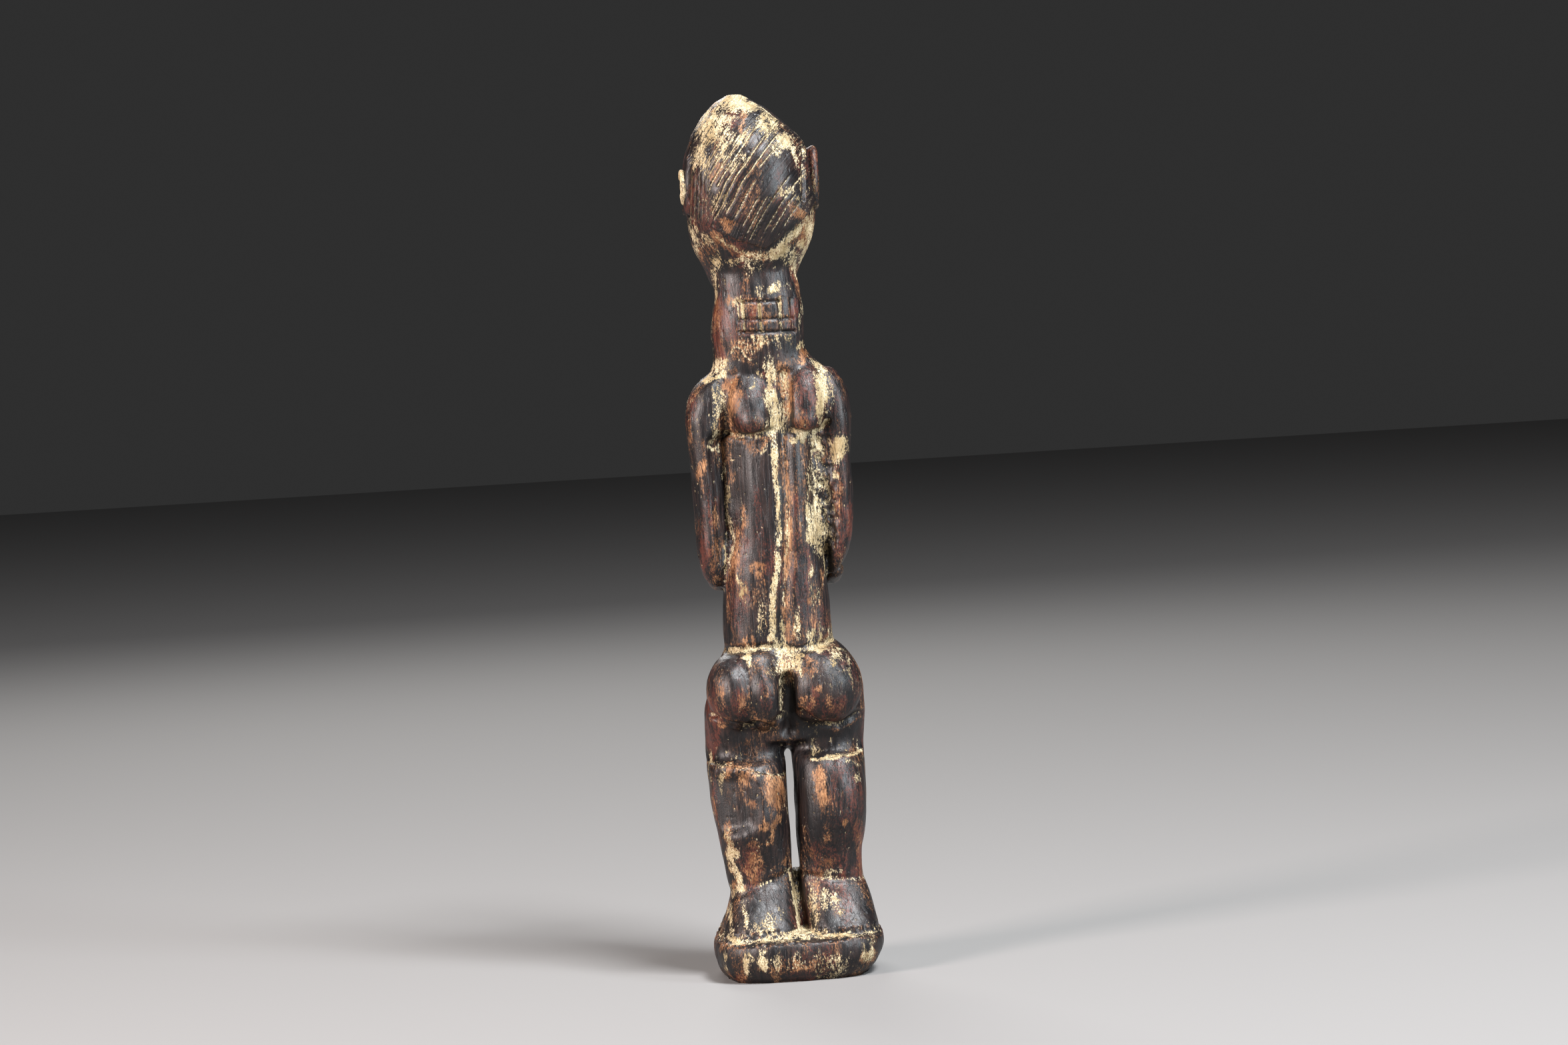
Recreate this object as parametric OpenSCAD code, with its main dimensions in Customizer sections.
// Standing fertility figure, carved from one billet of hardwood.
//
// The figure stands on a rounded slab, knees bent, hands on the belly. It is a
// single piece of wood, so nothing moves: each module below is one carved mass,
// and neighbouring masses meet face to face on the carver's own crease lines.
//
// Axes: +Z up, the figure faces -Y, its left side is +X.
// Origin: the middle of the flat underside of the base.

/* [Whole figure] */
// Height from the floor to the crown
figure_h = 330; // [200:1:500]

/* [Base] */
// Width of the slab, side to side
base_w = 63; // [60:0.5:72]
// Depth of the slab, front to back
base_d = 62; // [58:0.5:72]
// Height of the slab
base_h = 15; // [12:0.5:16]
// How far the slab draws in towards the floor, on each side
base_draw = 2; // [0:0.5:4]

/* [Legs] */
// Width of the open slit between the legs
leg_gap = 3.4; // [2:0.2:5]
// Width across both knees
knee_w = 60; // [56:0.5:64]
// Width across both ankles
ankle_w = 52; // [48:0.5:56]
// How far the calves swell out at the back
calf_swell = 6; // [3:0.5:8]

/* [Body] */
// Width across the hips
hip_w = 61; // [56:0.5:64]
// Width of the waist
waist_w = 41; // [38:0.5:44]
// Width of the back between the arms
back_w = 32; // [30:0.5:36]
// Width across both arms
shoulder_w = 62; // [60:0.5:66]
// Depth of the groove down the spine
spine_depth = 2.4; // [1:0.2:4]
// Thickness of an upper arm, front to back
arm_d = 16; // [12:0.5:18]

/* [Head] */
// Width of the neck
neck_w = 34; // [30:0.5:36]
// Width of the skull, without the ears
head_w = 50; // [46:0.5:52]
// Depth of the skull, front to back
head_d = 52; // [46:0.5:56]
// Thickness of the hair over the skull
hair_t = 1.6; // [1.2:0.1:2.4]
// How far the head stands over to the figure's left
head_shift = 2; // [0:0.5:6]

/* [Hidden] */

// Every height below is set for a figure 330 high, and the whole is scaled to figure_h.
design_h = 330;
ankle_z = 33;
knee_z = 80;
hip_z = 94;
waist_z = 121;
elbow_z = 140;
neck_z = 230;
jaw_z = 261;
hairline_z = 271;
ear_z = 298;
crown_z = 330;

sides = 40;       // corners of one cross-section
soft = 24;        // facets of a rounded hull's spheres
span = 200;       // a cutting box wider than the figure
left = 1;
right = -1;

leg_x = leg_gap / 2;
arm_slot = 1.8;
spine_top_x = -5.5;
spine_foot_x = -0.5;
body_x = 0;
blade_x = -3.6;
neck_x = 1.7;

wood = "#3b2720";
worn_wood = "#5a3226";
hair_wood = "#2b211e";
clay = "#a98f62";

// One cross-section: [height, middle x, middle y, half width, half depth, squareness].
// A squareness of 1 is an ellipse, and a smaller one is boxier.
function corner(s, a) = [
    s[1] + s[3] * sign(cos(a)) * pow(abs(cos(a)), s[5]),
    s[2] + s[4] * sign(sin(a)) * pow(abs(sin(a)), s[5]),
    s[0]
];
function outline(s) = [for (i = [0 : sides - 1]) corner(s, 360 * i / sides)];
function flat_outline(s) = [for (p = outline(s)) [p[0], p[1]]];

// A closed solid that passes through cross-sections listed from the bottom up.
module loft(sections) {
    top = (len(sections) - 1) * sides;
    wall = [for (k = [0 : len(sections) - 2]) for (i = [0 : sides - 1])
        let (j = (i + 1) % sides, a = k * sides)
        [a + i, a + sides + i, a + sides + j, a + j]];
    polyhedron(
        points = [for (s = sections) each outline(s)],
        faces = concat(
            [[for (i = [0 : sides - 1]) i]],
            wall,
            [[for (i = [sides - 1 : -1 : 0]) top + i]]
        ),
        convexity = 4
    );
}

module egg(at, size, turn = [0, 0, 0])
    translate(at) rotate(turn) scale(size) sphere(1, $fn = soft);

// A limb through a list of [x, y, z, radius], rounded at each point.
module limb(points, flatten = [1, 1, 1])
    for (i = [0 : len(points) - 2])
        hull() {
            for (p = [points[i], points[i + 1]])
                translate([p[0], p[1], p[2]]) scale(flatten * p[3]) sphere(1, $fn = soft);
        }

module between(low_z, high_z)
    translate([-span / 2, -span / 2, low_z]) cube([span, span, high_z - low_z]);

// ---------------------------------------------------------------- base and legs

base_foot = [0, 0, 0, base_w / 2 - base_draw, base_d / 2 - base_draw, 0.62];
base_rest_h = 1.5;

module base()
    color(clay) {
        linear_extrude(base_rest_h) polygon(flat_outline(base_foot));
        loft([
            [base_rest_h, 0, 0, base_foot[3], base_foot[4], 0.62],
            [base_h * 0.35, 0, 0, base_w / 2 - 0.6, base_d / 2 - 0.6, 0.62],
            [base_h * 0.7, 0, 0, base_w / 2, base_d / 2, 0.62],
            [base_h - 1, 0, 0, base_w / 2 - 0.6, base_d / 2 - 0.6, 0.62],
            [base_h, 0, 0, base_w / 2 - 2, base_d / 2 - 2, 0.62]
        ]);
    }

foot_half = 13.2;
toe_count = 5;

// Cross-section of one leg between its inner face and an outer half width.
function leg_section(side, z, outer, y, half_depth, square) = [
    z, side * (leg_x + outer) / 2, y, (outer - leg_x) / 2, half_depth, square
];

module foot(side)
    color(clay) {
        loft([
            leg_section(side, base_h, leg_x + 2 * foot_half, -5, 20, 0.62),
            leg_section(side, base_h + 4, leg_x + 2 * foot_half, -4.5, 19.5, 0.66),
            leg_section(side, base_h + 8, leg_x + 2 * foot_half - 1.5, -1.5, 16.5, 0.75),
            leg_section(side, base_h + 13, ankle_w / 2 + 0.5, 1.5, 13.5, 0.8),
            leg_section(side, ankle_z, ankle_w / 2, 3, 12, 0.85)
        ]);
        intersection() {
            between(base_h, ankle_z);
            for (i = [0 : toe_count - 1]) {
                x = side * (leg_x + 3 + i * 5);
                hull() {
                    egg([x, -19, base_h + 3], [2.5, 4, 3.4]);
                    egg([x, -25.5 + i * 0.7, base_h + 1.6], [2.4, 2.6, 2.6]);
                }
            }
        }
    }

module left_foot() foot(left);
module right_foot() foot(right);

module calf(side)
    color(wood)
        loft([
            leg_section(side, ankle_z, ankle_w / 2, 3, 12, 0.85),
            leg_section(side, ankle_z + 6, ankle_w / 2 + 0.4, 3.4, 12, 0.85),
            leg_section(side, ankle_z + 15, ankle_w / 2 + 1.8, 4, 12.6, 0.84),
            leg_section(side, ankle_z + 26, knee_w / 2 - 1, 2.5 + calf_swell / 2, 10.5 + calf_swell / 2, 0.82),
            leg_section(side, ankle_z + 36, knee_w / 2, 1.5 + calf_swell / 2, 11.5 + calf_swell / 2, 0.82),
            leg_section(side, knee_z - 4, knee_w / 2, 1 + calf_swell / 2, 12.5 + calf_swell / 2, 0.8),
            leg_section(side, knee_z, knee_w / 2 - 0.4, 0.5, 14.5, 0.8)
        ]);

module left_calf() calf(left);
module right_calf() calf(right);

module thigh(side)
    color(wood)
        loft([
            leg_section(side, knee_z, knee_w / 2 - 0.4, -3, 14, 0.8),
            leg_section(side, knee_z + 4, knee_w / 2 + 0.2, -3, 14, 0.8),
            leg_section(side, knee_z + 9, hip_w / 2 - 0.2, -2, 14.5, 0.8),
            leg_section(side, hip_z, hip_w / 2, -1, 15, 0.8)
        ]);

module left_thigh() thigh(left);
module right_thigh() thigh(right);

// ---------------------------------------------------------------- trunk

module hips()
    color(wood)
        difference() {
            union() {
                loft([
                    [hip_z, 0, -1, hip_w / 2, 15, 0.8],
                    [hip_z + 6, 0, -1, hip_w / 2 - 0.4, 16, 0.8],
                    [hip_z + 14, -0.6, -1, hip_w / 2 - 2, 15.5, 0.85],
                    [hip_z + 21, -1, -1, hip_w / 2 - 5, 15.2, 0.9],
                    [waist_z, body_x, -1, waist_w / 2 + 0.5, 15, 0.9]
                ]);
                intersection() {
                    between(hip_z, waist_z);
                    for (side = [left, right]) hull() {
                        egg([side * 14.6, 10, hip_z + 12], [15.6, 17.5, 14.5]);
                        egg([side * 13.6, 8, hip_z + 8], [16.4, 15.5, 12]);
                        egg([side * 10, 5, hip_z + 21], [11, 11, 9]);
                    }
                }
            }
            // the cleft, and the notch above the slit between the legs
            limb([
                [0.4, 30, hip_z + 19, 1], [0.4, 29, hip_z + 14, 2.2], [0.4, 28.5, hip_z + 9, 2.8],
                [0.4, 27, hip_z + 4, 3.2], [0.4, 25, hip_z - 2, 3.4], [0.4, 21, hip_z - 3, 3.4],
                [0.4, 15, hip_z - 4, 3.2], [0.4, 7, hip_z - 5, 3]
            ], [1, 1.4, 1]);
        }

module spine_cut()
    for (i = [0 : 8]) {
        t = i / 9;
        u = (i + 1) / 9;
        hull() {
            for (s = [t, u])
                translate([
                    spine_foot_x + s * (spine_top_x - spine_foot_x),
                    14.6 - 1.5 * sin(180 * s) + 2.2,
                    waist_z - 1 + s * (neck_z - waist_z - 4)
                ])
                scale([1.5, spine_depth + 1, 3]) sphere(1, $fn = 16);
        }
    }

module trunk() {
    loft([
        [waist_z, body_x, -1, waist_w / 2, 14.5, 0.85],
        [waist_z + 9, body_x, -3, waist_w / 2, 16, 0.85],
        [waist_z + 19, body_x, -5, waist_w / 2 - 0.6, 17.5, 0.85],
        [waist_z + 32, body_x, -5.5, back_w / 2 + 2, 18, 0.85],
        [waist_z + 46, body_x - 1, -3.5, back_w / 2, 16.5, 0.85],
        [waist_z + 64, body_x - 1.4, -1.5, back_w / 2, 15.2, 0.85],
        [waist_z + 80, body_x - 1.4, -0.5, back_w / 2 + 1.4, 15, 0.85],
        [waist_z + 91, body_x - 1, -0.5, back_w / 2 + 3, 14.8, 0.9],
        [waist_z + 99, body_x, 0, back_w / 2 + 4.5, 13.8, 0.95],
        [waist_z + 105, body_x + 1, 0.5, back_w / 2 + 4, 12.8, 1],
        [neck_z, neck_x - 0.5, 1, neck_w / 2 + 1.5, 12.5, 1]
    ]);
}

module shoulder_blades()
    for (side = [left, right])
        hull() {
            egg([side * 10.4 + blade_x, 12, 209], [7.6, 6.8, 6]);
            egg([side * 12.4 + blade_x, 9, 220], [7.2, 5, 6.5]);
        }

module breasts()
    for (side = [left, right])
        hull() {
            egg([side * 9, -11, 199], [6.5, 5, 6.5]);
            egg([side * 10, -19, 195], [2.5, 3, 2.5]);
        }

module chest()
    color(wood)
        intersection() {
            between(elbow_z, neck_z);
            difference() {
                union() {
                    trunk();
                    shoulder_blades();
                    breasts();
                }
                spine_cut();
            }
        }

module waist()
    color(worn_wood)
        intersection() {
            between(waist_z, elbow_z);
            difference() {
                union() {
                    trunk();
                    hull() {
                        egg([body_x, -20, waist_z + 17], [4, 3, 4]);
                        egg([body_x, -23, waist_z + 17], [2, 2, 2]);
                    }
                }
                spine_cut();
            }
        }

// ---------------------------------------------------------------- arms

// Room for the trunk beside an arm: the trunk with the slot's width round it.
module trunk_room() {
    minkowski() {
        intersection() {
            trunk();
            between(elbow_z, 203);
        }
        cylinder(r = arm_slot / 2, h = 0.5, center = true, $fn = 8);
    }
    intersection() {
        union() {
            trunk();
            shoulder_blades();
            breasts();
        }
        between(elbow_z - 1, neck_z);
    }
}

arm_out = shoulder_w / 2;
wrist_split_y = -6;

function arm_middle(side) = side * arm_out + body_x;

module whole_arm(side) {
    x = arm_middle(side);
    limb([
        [x - side * 12, 1, 219, 8.5], [x - side * 8, 1.5, 213, 8], [x - side * 7.2, 2, 203, 7.2],
        [x - side * 7, 2, 190, 7], [x - side * 7, 2, 175, 7], [x - side * 7.6, 1.5, 160, 6.6],
        [x - side * 9, 1, elbow_z + 9, 5.8]
    ], [1, arm_d / 16, 1]);
    limb([
        [x - side * 9, 1, elbow_z + 8, 5.8], [x - side * 9.5, -7, elbow_z + 8, 5.4],
        [x - side * 12, -15, elbow_z + 8.5, 5], [x - side * 17, -21.5, elbow_z + 9, 4],
        [x - side * 21, -23.5, elbow_z + 9, 3.2]
    ]);
}

// The part of an arm in front of the elbow, down to the hand.
module forearm_zone()
    translate([-span / 2, wrist_split_y - span, elbow_z + 1]) cube([span, span, 16]);

module arm(side)
    color(wood)
        difference() {
            intersection() {
                whole_arm(side);
                between(elbow_z + 1, neck_z);
            }
            forearm_zone();
            trunk_room();
        }

module forearm(side)
    color(worn_wood)
        difference() {
            intersection() {
                whole_arm(side);
                forearm_zone();
            }
            trunk_room();
        }

module left_arm() arm(left);
module right_arm() arm(right);
module left_forearm() forearm(left);
module right_forearm() forearm(right);

// ---------------------------------------------------------------- neck and head

nape_y = 14.2;
mark_w = 1;
mark_cols = 3;
mark_rows = 3;
mark_pitch_x = 6.6;
mark_pitch_z = 5;

// The square marks cut into the nape.
module nape_marks()
    translate([neck_x - 2, 0, 242]) {
        for (i = [0 : mark_cols - 1]) hull() {
            for (z = [0, mark_pitch_z * (mark_rows - 1)])
                translate([(i - 1) * mark_pitch_x, nape_y + 4, z]) cube([mark_w, 6, mark_w], center = true);
        }
        for (j = [0 : mark_rows - 1]) hull() {
            for (x = [-mark_pitch_x, mark_pitch_x])
                translate([x, nape_y + 4, j * mark_pitch_z]) cube([mark_w, 6, mark_w], center = true);
        }
    }

module neck()
    color(worn_wood)
        difference() {
            loft([
                [neck_z, neck_x - 0.5, 1, neck_w / 2 + 1.5, 14.5, 0.9],
                [neck_z + 3, neck_x, 1.5, neck_w / 2 + 0.3, 14.5, 0.88],
                [neck_z + 10, neck_x + 0.2, 2, neck_w / 2 + 0.3, 14.8, 0.86],
                [neck_z + 20, neck_x, 2, neck_w / 2 - 0.3, 14.8, 0.86],
                [neck_z + 27, neck_x - 0.4, 1.5, neck_w / 2 - 0.8, 14.5, 0.88],
                [jaw_z, neck_x - 0.2, 1, neck_w / 2 - 0.8, 14.5, 0.9]
            ]);
            nape_marks();
        }

// The skull and face, below the hair.
module skull(grow = 0)
    loft([
        [jaw_z, head_shift, -3, neck_w / 2 - 0.5, 17, 0.95],
        [jaw_z + 5, head_shift, -3, head_w / 2 - 5.5 + grow, head_d / 2 - 6 + grow, 0.95],
        [jaw_z + 12, head_shift, -1.5, head_w / 2 - 3 + grow, head_d / 2 - 3 + grow, 0.95],
        [jaw_z + 22, head_shift, -0.5, head_w / 2 - 0.8 + grow, head_d / 2 - 1 + grow, 0.95],
        [ear_z - 4, head_shift, 0, head_w / 2 + grow, head_d / 2 + grow, 0.95],
        [ear_z + 6, head_shift + 0.2, 0.5, head_w / 2 - 1 + grow, head_d / 2 - 1 + grow, 0.95],
        [ear_z + 14, head_shift + 0.4, 1, head_w / 2 - 4.5 + grow, head_d / 2 - 4 + grow, 0.97],
        [ear_z + 21, head_shift + 1, 1, head_w / 2 - 9 + grow, head_d / 2 - 9 + grow, 1],
        [ear_z + 26.5, head_shift + 1.6, 1, head_w / 2 - 14.5 + grow, head_d / 2 - 15 + grow, 1],
        [crown_z - hair_t + 0.9 * grow - 0.4, head_shift + 2, 1, 5 + grow, 5 + grow, 1]
    ]);

// The space that the hair fills: above a line that climbs from the nape over the ears to the brow.
module hair_zone()
    hull() {
        translate([-span / 2, 40, hairline_z]) cube([span, 1, span]);
        translate([-span / 2, 5, hairline_z + 10]) cube([span, 1, span]);
        translate([-span / 2, -14, ear_z + 4]) cube([span, 1, span]);
        translate([-span / 2, -40, ear_z + 16]) cube([span, 1, span]);
    }

module face_features() {
    // nose and brows
    hull() {
        egg([head_shift, -25.5, ear_z - 4], [2, 2, 2]);
        egg([head_shift, -27.5, ear_z - 17], [3, 2.4, 2.4]);
    }
    for (side = [left, right]) {
        hull() {
            egg([head_shift + side * 2, -25, ear_z - 2], [1.6, 1.6, 1.2]);
            egg([head_shift + side * 14, -20, ear_z - 3], [1.6, 1.6, 1.2]);
        }
        // heavy-lidded eye
        hull() {
            egg([head_shift + side * 5.5, -23.5, ear_z - 8], [1.4, 1.4, 1.4]);
            egg([head_shift + side * 12.5, -20.5, ear_z - 8], [1.4, 1.4, 1.4]);
        }
    }
    // lips
    for (z = [-23.4, -25.4]) hull() {
        egg([head_shift - 4, -22, ear_z + z], [1.3, 1.8, 1]);
        egg([head_shift + 4, -22, ear_z + z], [1.3, 1.8, 1]);
    }
    // chin
    hull() {
        egg([head_shift, -17.5, jaw_z + 5], [6, 4, 3.5]);
        egg([head_shift, -15, jaw_z + 7], [9, 4, 3.5]);
    }
}

module head()
    color(worn_wood)
        intersection() {
            between(jaw_z, crown_z);
            difference() {
                union() {
                    skull();
                    face_features();
                }
                hair_shell();
            }
        }

// The hair as a cap of even thickness over the skull.
module hair_shell()
    difference() {
        intersection() {
            skull(hair_t);
            hair_zone();
        }
        skull(-0.4);
    }

hair_lines = 9;

module coiffure()
    color(hair_wood)
        difference() {
            hair_shell();
            // knife-cut lines that slant down across the back of the hair
            for (i = [0 : hair_lines - 1]) {
                x = -18 + i * 5;
                hull() {
                    translate([head_shift + x - 7, 24, ear_z + 8]) cube([0.7, 9, 0.7], center = true);
                    translate([head_shift + x + 5, 24, ear_z - 14]) cube([0.7, 9, 0.7], center = true);
                }
            }
        }

// A C-shaped ear standing out from the side of the head.
module ear(side)
    color(clay)
        difference() {
            translate([head_shift + side * (head_w / 2 + 0.6), 1, ear_z - 4])
                for (i = [0 : 8]) {
                    a = -130 + i * 29;
                    b = a + 29;
                    hull() {
                        for (t = [a, b])
                            translate([0, 4 * cos(t), 8 * sin(t)]) egg([0, 0, 0], [1.8, 1.5, 1.8]);
                    }
                }
            skull();
            hair_shell();
        }

module left_ear() ear(left);
module right_ear() ear(right);

// ---------------------------------------------------------------- the nodes

scale(figure_h / design_h) {
    base();
    left_foot();
    right_foot();
    left_calf();
    right_calf();
    left_thigh();
    right_thigh();
    hips();
    waist();
    chest();
    left_arm();
    right_arm();
    left_forearm();
    right_forearm();
    neck();
    head();
    coiffure();
    left_ear();
    right_ear();
}
